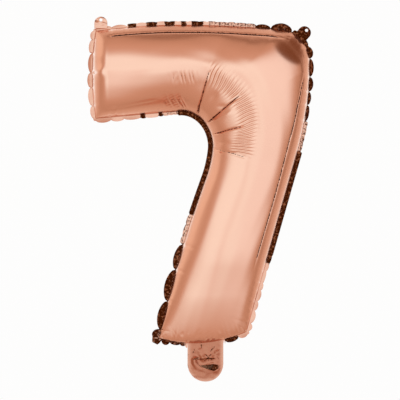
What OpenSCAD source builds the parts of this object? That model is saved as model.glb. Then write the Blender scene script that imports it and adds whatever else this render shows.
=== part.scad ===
// Inflated foil number balloon in the shape of a 7, hung by two corner tabs.
//
// Two sheets of foil film, a front and a back panel, are welded together round their edge.  A flat
// self-closing valve of two thin plies is welded in at the foot and runs down into the filling tail.
// X runs to the right of someone reading the figure, Y runs from the front to the back, Z is up.
// The origin lies in the seam plane, midway between the two hanging holes.

/* [Figure] */
// Height of the inflated figure between its seam lines
figure_h = 306; // [240:1:420]
// Width of the inflated figure between its seam lines
figure_w = 206; // [165:1:290]
// Height of the bar, seam to seam, at its free end
bar_stroke = 84; // [60:1:105]
// Width of the foot, seam to seam
foot_w = 84; // [64:1:120]
// Level distance from the left end of the bar to the foot
foot_x = 61; // [30:1:85]
// How much higher the underside of the bar is at the bend than at its free end
bar_taper = 7; // [0:1:16]
// Width of the inside bend, under the bar
bend_w = 30; // [20:1:44]
// Height of the inside bend
bend_h = 34; // [20:1:48]
// Level distance from the left end of the bar to the start of the inside bend
bend_x = 82; // [60:1:96]
// Width of the rounded shoulder
shoulder_w = 30; // [20:1:50]
// Height of the rounded shoulder
shoulder_h = 32; // [20:1:50]
// How far the bar's top edge droops towards its free end
top_bow = 6; // [0:0.5:10]
// How far the bar's top edge droops towards the shoulder
shoulder_bow = 4.5; // [0:0.5:10]
// How far the bar's end seam bows outwards
end_bow = 3.5; // [0:0.5:6]
// How far the foot's seam bows downwards
foot_bow = 8; // [2:0.5:14]
// Height of the foot's left corner above the lowest point of its seam
foot_rise_l = 5; // [0:0.5:10]
// Height of the foot's right corner above the lowest point of its seam
foot_rise_r = 11; // [0:0.5:16]

/* [Inflation] */
// Thickness of the inflated leg and bar, front to back
depth = 72; // [40:1:100]
// Extra thickness where the bar turns into the leg
bend_swell = 7; // [0:0.5:14]
// Length over which the bar's end rounds off
bar_cap = 24; // [16:1:44]
// Length over which the foot rounds off
foot_cap = 42; // [20:1:70]

/* [Film and seams] */
// Thickness of each foil film, drawn thicker than the real 0.045 mm film
film_t = 0.2; // [0.1:0.05:0.4]
// Width of the welded flange round the figure
flange_w = 4.5; // [3:0.5:8]
// Thickness of each valve ply
ply_t = 0.1; // [0.05:0.05:0.2]
// Gap between the two valve plies
channel_t = 0.1; // [0.1:0.05:0.3]

/* [Valve] */
// Width of the valve plies
valve_w = 24; // [16:1:28]
// Length of the valve inside the figure, above the foot's seam
valve_up = 78; // [40:1:110]
// Width of the heat-sealed strip along each side of the valve
valve_edge = 2; // [1:0.5:3]
// Thickness of the printed release coat inside the valve
coat_t = 0.05; // [0.02:0.01:0.08]
// How far the release coat reaches into the figure, above the foot's seam
coat_up = 10; // [6:1:30]

/* [Tail] */
// Width of the filling tail
tail_w = 34.5; // [30:0.5:44]
// Length of the tail below the foot's seam
tail_len = 37; // [32:1:60]
// How far the tail is set to the right of the foot's middle
tail_offset = 2.5; // [-6:0.5:6]
// Width of the weld round the tail
tail_seam = 3; // [2:0.5:4.5]
// Width of the filling slit in the tail's front film
slit_w = 20; // [12:1:22]
// Height of the filling slit, as it gapes
slit_h = 1.2; // [0.8:0.1:3]
// Depth of the filling slit below the foot's seam
slit_drop = 24; // [18:0.5:26]
// How far the filling slit is set to the left of the tail's middle
slit_offset = 3; // [0:0.5:3]

/* [Hanging tabs] */
// Radius of the punched hanging hole
hole_r = 1.5; // [1:0.1:2.5]
// Width of each hanging tab
tab_w = 12.5; // [10:0.5:18]
// Width of film left above the hanging hole
tab_rim = 1.7; // [1.2:0.1:3]
// Distance from the left end of the bar to the left tab
left_tab_x = 5; // [4:0.5:20]
// Direction in which the right tab points, in degrees above the level
right_tab_angle = 48; // [35:1:60]

/* [Folds] */
// Film left slack on each side of a fold line
fold_gap = 1; // [0.8:0.1:2]

/* [Hidden] */

FOIL = [0.87, 0.60, 0.48];
FOIL_BACK = [0.82, 0.55, 0.43];
WELD = [0.72, 0.45, 0.34];
CLEAR_FILM = [0.90, 0.92, 0.93, 0.6];
COAT = [0.55, 0.72, 0.78];

$fn = 64;
weld_t = 2 * ply_t + channel_t;
stack_t = 2 * film_t + weld_t;
cut = 1;

// Stations along the figure: down the bar, round the bend and down the leg, and points across it.
BAR_STEPS = 16;
BEND_STEPS = 30;
LEG_STEPS = 28;
ACROSS = 16;
LAST = BAR_STEPS + BEND_STEPS + LEG_STEPS;

bend_z = figure_h - top_bow - bar_stroke + bar_taper - bend_h;
shoulder_x = figure_w - shoulder_w;
shoulder_z = figure_h - shoulder_bow - shoulder_h;
leg_join_drop = 22;
inner_ease = 30;
outer_ease = 90;
tail_mid = foot_x + foot_w / 2 + tail_offset;
neck_z = -flange_w - 0.5 - fold_gap;

function mix(a, b, t) = a + (b - a) * t;
function unit(v) = v / norm(v);

// A side edge that starts upright and eases into a straight slope: the shift at a depth below its start.
function eased_shift(drop, ease, slope) =
    drop < ease ? slope * drop * drop / (2 * ease) : slope * (drop - ease / 2);

inner_slope = (bend_x + bend_w - foot_x) / (bend_z - foot_rise_l - inner_ease / 2);
outer_slope = (figure_w - foot_x - foot_w) / (shoulder_z - foot_rise_r - outer_ease / 2);
leg_waist = 4;

function inner_leg(z) =
    [bend_x + bend_w - eased_shift(bend_z - z, inner_ease, inner_slope)
        - leg_waist * sin(180 * (bend_z - z) / (bend_z - foot_rise_l)), z];
function outer_leg(z) = [figure_w - eased_shift(shoulder_z - z, outer_ease, outer_slope), z];
function bar_top(x) =
    [x, figure_h - (x < bend_x
        ? top_bow * pow(1 - x / bend_x, 2)
        : shoulder_bow * pow((x - bend_x) / (shoulder_x - bend_x), 2))];

// The outside of the bend, from above the inside bend, over the shoulder, to the top of the leg.
leg_join_z = bend_z - leg_join_drop;
outer_bend = concat(
    [for (x = [bend_x : (shoulder_x - bend_x) / 12 : shoulder_x - 0.01]) bar_top(x)],
    [for (a = [90 : -7.5 : 0]) [shoulder_x + shoulder_w * cos(a), shoulder_z + shoulder_h * sin(a)]],
    [for (k = [1 : 12]) outer_leg(mix(shoulder_z, leg_join_z, k / 12))]);
outer_bend_run = [for (i = 0, s = 0; i < len(outer_bend);
    s = s + norm(outer_bend[min(i + 1, len(outer_bend) - 1)] - outer_bend[i]), i = i + 1) s];

function along_outer_bend(v) =
    let (s = v * outer_bend_run[len(outer_bend) - 1])
    [for (k = [0, 1]) lookup(s, [for (i = [0 : len(outer_bend) - 1]) [outer_bend_run[i], outer_bend[i][k]]])];

// Each station is the inner seam point, the outer seam point, the half thickness there and the bow of an end seam.
function cap_share(d, cap) = d >= cap ? 1 : sqrt(1 - pow(1 - d / cap, 2));
function bar_station(v) =
    let (x = bend_x * (1 - cos(90 * v)))
    [[x, figure_h - top_bow - bar_stroke + bar_taper * x / bend_x], bar_top(x),
     depth / 2 * cap_share(x, bar_cap), [-end_bow, 0] * pow(max(0, 1 - x / bar_cap), 2)];
function bend_station(v) =
    [[bend_x + bend_w * sin(90 * v), bend_z + bend_h * cos(90 * v)], along_outer_bend(v),
     depth / 2 + bend_swell / 2 * sin(180 * v), [0, 0]];
function leg_station(v) =
    let (run = sin(90 * v), left_drop = (bend_z - foot_rise_l) * (1 - run))
    [inner_leg(mix(bend_z, foot_rise_l, run)), outer_leg(mix(leg_join_z, foot_rise_r, run)),
     depth / 2 * cap_share(left_drop, foot_cap), [0, -foot_bow] * pow(max(0, 1 - left_drop / foot_cap), 2)];
function station(i) =
    i <= BAR_STEPS ? bar_station(i / BAR_STEPS)
    : i <= BAR_STEPS + BEND_STEPS ? bend_station((i - BAR_STEPS) / BEND_STEPS)
    : leg_station((i - BAR_STEPS - BEND_STEPS) / LEG_STEPS);
stations = [for (i = [0 : LAST]) station(i)];

// The dome of the front panel: half an ellipse across each station, standing on the seam plane.
function dome_point(i, j) =
    let (s = stations[i], a = 180 * j / ACROSS, t = (1 - cos(a)) / 2,
         p = mix(s[0], s[1], t) + s[3] * 4 * t * (1 - t))
    [p[0], -(weld_t / 2 + film_t + s[2] * sin(a)), p[1]];
dome = [for (i = [0 : LAST]) [for (j = [0 : ACROSS]) dome_point(i, j)]];

// The seam line as one loop of grid places, anticlockwise as seen from the front.
seam_places = concat(
    [for (i = [0 : LAST]) [i, 0]],
    [for (j = [1 : ACROSS - 1]) [LAST, j]],
    [for (i = [LAST : -1 : 0]) [i, ACROSS]],
    [for (j = [ACROSS - 1 : -1 : 1]) [0, j]]);
SEAM = len(seam_places);
seam_line = [for (p = seam_places) [dome[p[0]][p[1]][0], dome[p[0]][p[1]][2]]];

// Outward direction at each seam point, a little longer at a corner, which the cutter rounds.
corner_trim = 0.85;
function right_of(v) = [v[1], -v[0]];
function seam_outward(k) =
    let (before = unit(right_of(seam_line[k] - seam_line[(k + SEAM - 1) % SEAM])),
         after = unit(right_of(seam_line[(k + 1) % SEAM] - seam_line[k])),
         both = unit(before + after))
    both / max(corner_trim, both * after);
seam_out = [for (k = [0 : SEAM - 1]) seam_outward(k)];
function at_neck(p) = p[1] < foot_rise_r && abs(p[0] - tail_mid) < tail_w / 2;
flange_line = [for (k = [0 : SEAM - 1])
    let (p = seam_line[k] + seam_out[k] * flange_w)
    at_neck(p) ? [p[0], neck_z + fold_gap] : p];
inset_line = [for (k = [0 : SEAM - 1]) seam_line[k] - seam_out[k] * film_t];

function on_rim(i, j) = i == 0 || i == LAST || j == 0 || j == ACROSS;
function dome_normal(i, j) =
    unit(cross(dome[i + 1][j] - dome[i - 1][j], dome[i][j + 1] - dome[i][j - 1]));
function seam_index(i, j) =
    j == 0 ? i
    : i == LAST ? LAST + j
    : j == ACROSS ? LAST + ACROSS + LAST - i
    : 2 * LAST + 2 * ACROSS - j;
function inside_point(i, j) =
    on_rim(i, j)
    ? let (p = inset_line[seam_index(i, j)]) [p[0], -weld_t / 2, p[1]]
    : dome[i][j] - dome_normal(i, j) * film_t;

function grid_index(i, j) = i * (ACROSS + 1) + j;
GRID = (LAST + 1) * (ACROSS + 1);

// One film with its dome and its flange, as a closed skin: outside, inside and rim.
module film_panel() {
    outside = [for (row = dome) for (p = row) p];
    inside = [for (i = [0 : LAST]) for (j = [0 : ACROSS]) inside_point(i, j)];
    flange_outside = [for (p = flange_line) [p[0], -(weld_t / 2 + film_t), p[1]]];
    flange_inside = [for (p = flange_line) [p[0], -weld_t / 2, p[1]]];
    first_inside = GRID;
    first_flange_outside = 2 * GRID;
    first_flange_inside = 2 * GRID + SEAM;
    dome_faces = [for (i = [0 : LAST - 1]) for (j = [0 : ACROSS - 1])
        let (a = grid_index(i, j), b = grid_index(i + 1, j),
             c = grid_index(i + 1, j + 1), d = grid_index(i, j + 1))
        each [[a, c, b], [a, d, c]]];
    rim = [for (p = seam_places) grid_index(p[0], p[1])];
    flange_faces = [for (k = [0 : SEAM - 1])
        let (m = (k + 1) % SEAM, a = rim[k], b = rim[m],
             c = first_flange_outside + m, d = first_flange_outside + k)
        each [[a, b, c], [a, c, d]]];
    inner_flange_faces = [for (k = [0 : SEAM - 1])
        let (m = (k + 1) % SEAM, a = first_inside + rim[k], b = first_inside + rim[m],
             c = first_flange_inside + m, d = first_flange_inside + k)
        each [[a, c, b], [a, d, c]]];
    edge_faces = [for (k = [0 : SEAM - 1])
        let (m = (k + 1) % SEAM, a = first_flange_outside + k, b = first_flange_outside + m,
             c = first_flange_inside + m, d = first_flange_inside + k)
        each [[a, b, c], [a, c, d]]];
    inner_dome_faces = [for (f = dome_faces)
        [f[0] + first_inside, f[2] + first_inside, f[1] + first_inside]];
    polyhedron(
        points = concat(outside, inside, flange_outside, flange_inside),
        faces = concat(dome_faces, inner_dome_faces, flange_faces, inner_flange_faces, edge_faces));
}

// Places of the fold lines and of the hanging holes.
tab_r = tab_w / 2;
tab_reach = fold_gap + 0.5;
hole_reach = tab_reach + tab_r - tab_rim - hole_r;
left_tab_seam = bar_top(left_tab_x);
right_tab_seam = [shoulder_x + shoulder_w * cos(right_tab_angle),
                  shoulder_z + shoulder_h * sin(right_tab_angle)];
left_tab_angle = 90;
function tab_fold(seam, angle) = seam + (flange_w + fold_gap) * [cos(angle), sin(angle)];
function tab_hole(seam, angle) = tab_fold(seam, angle) + hole_reach * [cos(angle), sin(angle)];
left_fold = tab_fold(left_tab_seam, left_tab_angle);
right_fold = tab_fold(right_tab_seam, right_tab_angle);
left_hole = tab_hole(left_tab_seam, left_tab_angle);
right_hole = tab_hole(right_tab_seam, right_tab_angle);
hang = (left_hole + right_hole) / 2;

// Everything is drawn from the left end of the bar and the foot's seam, then moved to the hanging line.
module placed() {
    translate([-hang[0], 0, -hang[1]]) children();
}

// A flat sheet cut to a 2-D outline in X and Z, from one depth to another.
module sheet(y_front, y_back) {
    translate([0, y_back, 0])
        rotate([90, 0, 0])
            linear_extrude(y_back - y_front) children();
}

tail_round_z = -tail_len + tail_w / 2;
module tail_outline(inset) {
    half = tail_w / 2 - inset;
    translate([tail_mid, 0]) {
        translate([-half, tail_round_z])
            square([2 * half, neck_z - fold_gap - tail_round_z]);
        intersection() {
            translate([0, tail_round_z]) circle(r = half);
            translate([-half, -tail_len]) square([2 * half, tail_w / 2]);
        }
    }
}

module valve_strip(z_low, z_high, width = valve_w) {
    translate([tail_mid - width / 2, z_low])
        square([width, z_high - z_low]);
}

module front_panel() {
    color(FOIL) placed() film_panel();
}

module back_panel() {
    color(FOIL_BACK) placed() mirror([0, 1, 0]) film_panel();
}

// The melted sealant between the two flanges, open only where the valve passes through.
module perimeter_weld() {
    color(WELD) placed()
        sheet(-weld_t / 2, weld_t / 2)
            difference() {
                polygon(flange_line);
                polygon(seam_line);
                valve_strip(neck_z - cut, foot_rise_r + cut);
            }
}

// One valve ply, from one height to another, with its face at the given depth.
module ply(z_low, z_high, y_front) {
    sheet(y_front, y_front + ply_t) valve_strip(z_low, z_high);
}

// The two narrow strips that seal the plies together along their sides.
module ply_edges(z_low, z_high) {
    for (side = [-1, 1])
        sheet(-channel_t / 2, channel_t / 2)
            translate([tail_mid + side * (valve_w - valve_edge) / 2 - valve_edge / 2, z_low])
                square([valve_edge, z_high - z_low]);
}

module valve_front_ply() {
    color(CLEAR_FILM) placed() {
        ply(neck_z + fold_gap, valve_up, -weld_t / 2);
        ply_edges(neck_z + fold_gap, valve_up);
    }
}

module valve_back_ply() {
    color(CLEAR_FILM) placed() ply(neck_z + fold_gap, valve_up, channel_t / 2);
}

// Heat-resistant print on the back ply, which keeps the channel open where the seam crosses it.
module valve_release_coat() {
    color(COAT) placed()
        sheet(channel_t / 2 - coat_t, channel_t / 2)
            valve_strip(neck_z + fold_gap, coat_up, valve_w - 2 * valve_edge);
}

module tail_film(y_front) {
    sheet(y_front, y_front + film_t) tail_outline(0);
}

module tail_front_film() {
    color(FOIL) placed()
        difference() {
            tail_film(-stack_t / 2);
            sheet(-stack_t / 2 - cut, -weld_t / 2 + cut)
                translate([tail_mid - slit_offset - slit_w / 2, -slit_drop - slit_h / 2])
                    square([slit_w, slit_h]);
        }
}

module tail_back_film() {
    color(FOIL_BACK) placed() tail_film(weld_t / 2);
}

// The weld round the tail, between its two films and outside the valve mouth.
module tail_weld() {
    color(WELD) placed()
        sheet(-weld_t / 2, weld_t / 2)
            difference() {
                tail_outline(0);
                tail_outline(tail_seam);
            }
}

// In the tail the front ply stops above the slit, so that a straw slides in between the plies.
module valve_mouth_front_ply() {
    mouth_z = -slit_drop + slit_h;
    color(CLEAR_FILM) placed() {
        ply(mouth_z, neck_z - fold_gap, -weld_t / 2);
        ply_edges(mouth_z, neck_z - fold_gap);
    }
}

module valve_mouth_back_ply() {
    color(CLEAR_FILM) placed() ply(-slit_drop - 2 * slit_h, neck_z - fold_gap, channel_t / 2);
}

// A corner tab: both films and the weld between them, fused right through, with a punched hole.
module hanging_tab(fold, angle) {
    placed()
        translate([fold[0], 0, fold[1]])
            rotate([0, -angle, 0])
                sheet(-stack_t / 2, stack_t / 2)
                    difference() {
                        union() {
                            translate([fold_gap, -tab_r]) square([tab_reach - fold_gap, tab_w]);
                            intersection() {
                                translate([tab_reach, 0]) circle(r = tab_r);
                                translate([tab_reach, -tab_r]) square([tab_r, tab_w]);
                            }
                        }
                        translate([hole_reach, 0]) circle(r = hole_r);
                    }
}

module left_hanging_tab() {
    color(FOIL) hanging_tab(left_fold, left_tab_angle);
}

module right_hanging_tab() {
    color(FOIL) hanging_tab(right_fold, right_tab_angle);
}

front_panel();
back_panel();
perimeter_weld();
valve_front_ply();
valve_back_ply();
valve_release_coat();
tail_front_film();
tail_back_film();
tail_weld();
valve_mouth_front_ply();
valve_mouth_back_ply();
left_hanging_tab();
right_hanging_tab();
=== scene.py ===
import bpy
import math
import numpy as np
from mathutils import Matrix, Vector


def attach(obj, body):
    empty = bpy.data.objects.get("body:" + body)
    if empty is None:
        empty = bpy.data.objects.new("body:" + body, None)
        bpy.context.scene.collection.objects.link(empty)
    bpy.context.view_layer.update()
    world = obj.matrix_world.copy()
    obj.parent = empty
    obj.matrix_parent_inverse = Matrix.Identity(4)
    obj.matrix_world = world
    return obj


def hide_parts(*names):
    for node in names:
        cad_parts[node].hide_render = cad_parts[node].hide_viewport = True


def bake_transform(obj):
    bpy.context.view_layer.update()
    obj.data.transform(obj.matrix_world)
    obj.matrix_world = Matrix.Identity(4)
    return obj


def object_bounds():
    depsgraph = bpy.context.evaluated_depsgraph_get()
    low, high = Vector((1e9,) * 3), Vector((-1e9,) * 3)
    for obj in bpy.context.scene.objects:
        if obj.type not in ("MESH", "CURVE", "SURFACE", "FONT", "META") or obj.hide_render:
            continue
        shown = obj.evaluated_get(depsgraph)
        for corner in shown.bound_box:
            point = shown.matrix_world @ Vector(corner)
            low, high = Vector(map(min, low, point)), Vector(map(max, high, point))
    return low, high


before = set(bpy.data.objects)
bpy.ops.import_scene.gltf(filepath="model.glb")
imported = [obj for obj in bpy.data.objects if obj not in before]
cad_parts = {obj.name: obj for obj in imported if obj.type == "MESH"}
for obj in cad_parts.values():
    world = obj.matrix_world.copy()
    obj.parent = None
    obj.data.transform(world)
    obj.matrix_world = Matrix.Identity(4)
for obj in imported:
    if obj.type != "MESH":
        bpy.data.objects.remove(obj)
cad_low, cad_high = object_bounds()


# --------------------------------------------------
# Shared steps: a mesh with values stored at its points, and a node tree put together from steps.
def new_object(name, verts, faces, stored=(), edges=()):
    """A smooth mesh object; stored pairs a label with one value, or with one value for each point."""
    mesh = bpy.data.meshes.new(name)
    mesh.from_pydata(np.asarray(verts).tolist(), edges, np.asarray(faces).tolist())
    for label, values in stored:
        layer = mesh.attributes.new(label, "FLOAT", "POINT")
        layer.data.foreach_set("value", np.full(len(mesh.vertices), values, np.float32))
    mesh.polygons.foreach_set("use_smooth", [True] * len(mesh.polygons))
    mesh.update()
    thing = bpy.data.objects.new(name, mesh)
    bpy.context.scene.collection.objects.link(thing)
    return thing


class Tree:
    """A node tree being built.  A step takes other steps' outputs or plain values."""

    def __init__(self, tree):
        self.tree = tree

    def fill(self, node, inputs):
        for key, value in inputs.items():
            if isinstance(value, bpy.types.NodeSocket):
                self.tree.links.new(value, node.inputs[key])
            else:
                node.inputs[key].default_value = value

    def node(self, kind, inputs={}, **settings):
        node = self.tree.nodes.new(kind)
        for key, value in settings.items():
            setattr(node, key, value)
        self.fill(node, inputs)
        return node

    def maths(self, operation, *values):
        return self.node("ShaderNodeMath", dict(enumerate(values)), operation=operation).outputs[0]

    def ramp(self, value, low, high):
        """0 up to low, 1 from high on, and a smooth rise between them."""
        ends = {"Value": value, "From Min": low, "From Max": high}
        return self.node("ShaderNodeMapRange", ends, interpolation_type="SMOOTHSTEP").outputs["Result"]

    def fall(self, value, low, high):
        return self.maths("SUBTRACT", 1.0, self.ramp(value, low, high))

    def blend(self, factor, a, b):
        """A colour between two colours, each a step's output or three numbers."""
        a, b = [(*c, 1) if isinstance(c, tuple) else c for c in (a, b)]
        inputs = {"Factor": factor, "A": a, "B": b}
        return self.node("ShaderNodeMix", inputs, data_type="RGBA").outputs["Result"]


def new_group(name, kind, takes, gives):
    """A node group with its tree and inputs: takes lists labels, kinds and values, gives the outputs."""
    group = bpy.data.node_groups.new(name, kind)
    for label, socket, value in takes:
        taken = group.interface.new_socket(label, in_out="INPUT", socket_type="NodeSocket" + socket)
        if value is not None:
            taken.default_value = value
    for label, socket in gives:
        group.interface.new_socket(label, in_out="OUTPUT", socket_type="NodeSocket" + socket)
    tree = Tree(group)
    return group, tree, tree.node("NodeGroupInput").outputs


def bell(value, width, power=2):
    """1 at zero, falling off on both sides."""
    return np.exp(-np.abs(value / width) ** power)


def turned(x, z, px, pz, turn):
    """Distances from a plan point along a direction and square to it."""
    c, s = math.cos(turn), math.sin(turn)
    return (x - px) * c + (z - pz) * s, (z - pz) * c - (x - px) * s


# --------------------------------------------------
# The seam.  Two sheets of foil are laid face to face and welded along this line before they are
# filled, so the outline of the digit is the seam's own path: along the underside of the bar, round
# the inside bend, down the leg, across the foot, up over the shoulder and back along the top.
# Sizes are in millimetres here, from the bar's left end and the foot, and are moved to the hanging
# line at the end.
FIGURE_H, FIGURE_W = 306.0, 206.0
BAR_STROKE, BAR_TAPER = 84.0, 7.0
FOOT_X, FOOT_W, FOOT_BOW, FOOT_RISE_L, FOOT_RISE_R = 61.0, 84.0, 8.0, 5.0, 11.0
BEND_X, BEND_W, BEND_H = 82.0, 30.0, 34.0
SHOULDER_W, SHOULDER_H = 30.0, 32.0
LEG_JOIN_DROP, INNER_EASE, OUTER_EASE, LEG_WAIST = 22.0, 30.0, 90.0, 4.0
TOP_BOW, SHOULDER_BOW, END_BOW = 6.0, 4.5, 3.5
DEPTH, BEND_SWELL, BAR_CAP, FOOT_CAP = 72.0, 7.0, 24.0, 42.0
END_CAP, FOOT_THINS, THIN_FROM, THIN_EASE = 14.0, 0.22, 95.0, 25.0
FLANGE_W, FILM_GAP = 4.5, 0.15
TAIL_W, TAIL_LEN, TAIL_SEAM, TAIL_OFFSET = 34.5, 37.0, 3.0, 2.5

bend_z = FIGURE_H - TOP_BOW - BAR_STROKE + BAR_TAPER - BEND_H
shoulder_x, shoulder_z = FIGURE_W - SHOULDER_W, FIGURE_H - SHOULDER_BOW - SHOULDER_H
leg_join_z = bend_z - LEG_JOIN_DROP
tail_mid = FOOT_X + FOOT_W / 2 + TAIL_OFFSET


def smooth(a, b, x):
    t = np.clip((x - a) / (b - a), 0, 1)
    return t * t * (3 - 2 * t)


def eased_shift(drop, ease, slope):
    return np.where(drop < ease, slope * drop ** 2 / (2 * ease), slope * (drop - ease / 2))


def inner_leg(z):
    slope = (BEND_X + BEND_W - FOOT_X) / (bend_z - FOOT_RISE_L - INNER_EASE / 2)
    waist = LEG_WAIST * np.sin(np.pi * (bend_z - z) / (bend_z - FOOT_RISE_L))
    return np.stack([BEND_X + BEND_W - eased_shift(bend_z - z, INNER_EASE, slope) - waist, z], -1)


def outer_leg(z):
    slope = (FIGURE_W - FOOT_X - FOOT_W) / (shoulder_z - FOOT_RISE_R - OUTER_EASE / 2)
    return np.stack([FIGURE_W - eased_shift(shoulder_z - z, OUTER_EASE, slope), z], -1)


def bar_top(x):
    droop = np.where(x < BEND_X, TOP_BOW * (1 - x / BEND_X) ** 2,
                     SHOULDER_BOW * ((x - BEND_X) / (shoulder_x - BEND_X)) ** 2)
    return np.stack([x, FIGURE_H - droop], -1)


def outer_bend(v):
    over = bar_top(np.linspace(BEND_X, shoulder_x, 40)[:-1])
    a = np.radians(np.linspace(90, 0, 60))
    shoulder = np.stack([shoulder_x + SHOULDER_W * np.cos(a), shoulder_z + SHOULDER_H * np.sin(a)], -1)
    down = outer_leg(np.linspace(shoulder_z, leg_join_z, 50)[1:])
    path = np.concatenate([over, shoulder, down])
    run = np.concatenate([[0], np.cumsum(np.linalg.norm(np.diff(path, axis=0), axis=1))])
    return np.stack([np.interp(v * run[-1], run, path[:, k]) for k in (0, 1)], -1)


def cap_share(d, cap):
    return np.sqrt(np.clip(1 - np.clip(1 - d / cap, 0, 1) ** 2, 0, 1))


def stations(bar_steps, bend_steps, leg_steps):
    """Inner and outer seam points, half thickness and end bow at each station along the digit."""
    v = np.arange(bar_steps) / bar_steps
    x = BEND_X * (1 - np.cos(np.pi / 2 * v))
    bar_in = np.stack([x, FIGURE_H - TOP_BOW - BAR_STROKE + BAR_TAPER * x / BEND_X], -1)
    bar_half = DEPTH / 2 * (0.88 + 0.12 * smooth(0, 55, x)) * cap_share(x, END_CAP)
    bar_bow = np.stack([-END_BOW * np.clip(1 - x / BAR_CAP, 0, 1) ** 2, 0 * x], -1)
    v = np.arange(bend_steps) / bend_steps
    turn = np.pi / 2 * v
    bend_in = np.stack([BEND_X + BEND_W * np.sin(turn), bend_z + BEND_H * np.cos(turn)], -1)
    bend_half = DEPTH / 2 + BEND_SWELL / 2 * np.sin(np.pi * v)
    run = np.sin(np.pi / 2 * np.linspace(0, 1, leg_steps))
    drop = (bend_z - FOOT_RISE_L) * (1 - run)
    leg_in = inner_leg(bend_z + (FOOT_RISE_L - bend_z) * run)
    leg_out = outer_leg(leg_join_z + (FOOT_RISE_R - leg_join_z) * run)
    thinner = eased_shift(np.clip(THIN_FROM - drop, 0, None), THIN_EASE, FOOT_THINS)
    leg_half = (DEPTH / 2 - thinner) * cap_share(drop, FOOT_CAP)
    leg_bow = np.stack([0 * drop, -FOOT_BOW * np.clip(1 - drop / FOOT_CAP, 0, 1) ** 2], -1)
    return (np.concatenate([bar_in, bend_in, leg_in]),
            np.concatenate([bar_top(x), outer_bend(v), leg_out]),
            np.concatenate([bar_half, bend_half, leg_half]),
            np.concatenate([bar_bow, np.zeros((bend_steps, 2)), leg_bow]))


def direction(degrees):
    return np.array([math.cos(math.radians(degrees)), math.sin(math.radians(degrees))])


# The tabs' roots lie 1 mm past the flange, and reach TAB_TUCK back into it.
TAB_W, TAB_HOLE_R, TAB_RIM, TAB_NECK, TAB_TUCK, TAB_ROOT = 12.5, 1.5, 1.7, 1.5, 3.6, FLANGE_W + 1.0
hole_reach = TAB_NECK + TAB_W / 2 - TAB_RIM - TAB_HOLE_R
left_tab_root = bar_top(np.array(5.0)) + [0, TAB_ROOT]
right_tab_out = direction(48)
right_tab_root = np.array([shoulder_x, shoulder_z]) + right_tab_out * [SHOULDER_W, SHOULDER_H]
right_tab_root += right_tab_out * TAB_ROOT
hang = (left_tab_root + [0, hole_reach] + right_tab_root + right_tab_out * hole_reach) / 2


def to_frame(points):
    """Millimetres from the bar's left end and the foot, to metres from the hanging line."""
    return (np.asarray(points, float) - [hang[0], 0, hang[1]]) / 1000


# --------------------------------------------------
# The foil skins.  Each is one sheet of thin metallised film, swollen by the gas into a dome, with
# the flat flange of the weld round it and the flat filling tail below the foot.  The flange is too
# long for the swollen seam, so it buckles into scallops.
BAR_STEPS, BEND_STEPS, LEG_STEPS, ACROSS = 112, 226, 176, 128
FLANGE_ROWS = 8
inner, outer, half, bow = stations(BAR_STEPS, BEND_STEPS, LEG_STEPS)
STATIONS = len(inner)


def tuck_reach(x, z):
    """Distance from the outer seam to the tuck line that runs beside it, wider down the leg."""
    on_leg = np.interp(z, [78, 140, 190, 225, 258], [10.2, 9.8, 10.8, 9.5, 5.6])
    return np.where((z < 270) & (x > 140), on_leg, 7.2)


def crest_power():
    """How pointed the dome's cross-section is at each station: round at the ends, peaked by the bend."""
    bar_x = inner[:BAR_STEPS, 0]
    bend_v = np.arange(BEND_STEPS) / BEND_STEPS
    bend_more = np.interp(bend_v, [0, 0.3, 0.6, 1], [0.87, 0.85, 0, 0])
    return 1 + np.concatenate([0.12 + 0.75 * smooth(15, 82, bar_x), bend_more, np.zeros(LEG_STEPS)])


def skin_grid():
    """Plan position, depth and seam places of the dome, closer together beside the tuck line."""
    power = crest_power()
    plan = np.zeros((STATIONS, ACROSS + 1, 2))
    depth = np.zeros((STATIONS, ACROSS + 1))
    even = np.linspace(0, np.pi, 721)
    for i in range(STATIONS):
        chord = np.linalg.norm(outer[i] - inner[i])
        tuck_at = np.pi - np.arccos(1 - 2 * min(0.4, tuck_reach(*outer[i]) / chord))
        weight = 1 + 3.5 * bell(even - tuck_at, 0.05)
        share = np.concatenate([[0], np.cumsum((weight[1:] + weight[:-1]) / 2)])
        a = np.interp(np.linspace(0, 1, ACROSS + 1), share / share[-1], even)
        t = (1 - np.cos(a)) / 2
        plan[i] = inner[i] + np.outer(t, outer[i] - inner[i]) + np.outer(4 * t * (1 - t), bow[i])
        depth[i] = half[i] * np.sin(a) ** power[i]
    return plan, depth


plan, depth = skin_grid()
grid = np.arange(STATIONS * (ACROSS + 1)).reshape(STATIONS, ACROSS + 1)
rim = np.concatenate([grid[:, 0], grid[-1, 1:-1], grid[::-1, -1], grid[0, -2:0:-1]])
loop = plan.reshape(-1, 2)[rim]
LOOP = len(loop)


def right_hand(v):
    return np.stack([v[:, 1], -v[:, 0]], -1) / np.maximum(np.linalg.norm(v, axis=1), 1e-9)[:, None]


step_out = np.roll(loop, -1, 0) - loop
step_in = loop - np.roll(loop, 1, 0)
both = right_hand(step_in) + right_hand(step_out)
both /= np.linalg.norm(both, axis=1)[:, None]
outward = both / np.maximum(0.85, (both * right_hand(step_out)).sum(1))[:, None]
seam_run = np.concatenate([[0], np.cumsum(np.linalg.norm(step_out, axis=1))])
SEAM_LENGTH = seam_run[-1]
seam_run = seam_run[:-1]


def run_at(x, z):
    """Length along the seam of the seam point nearest to a plan position."""
    return seam_run[np.argmin(((loop - [x, z]) ** 2).sum(1))]


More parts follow.
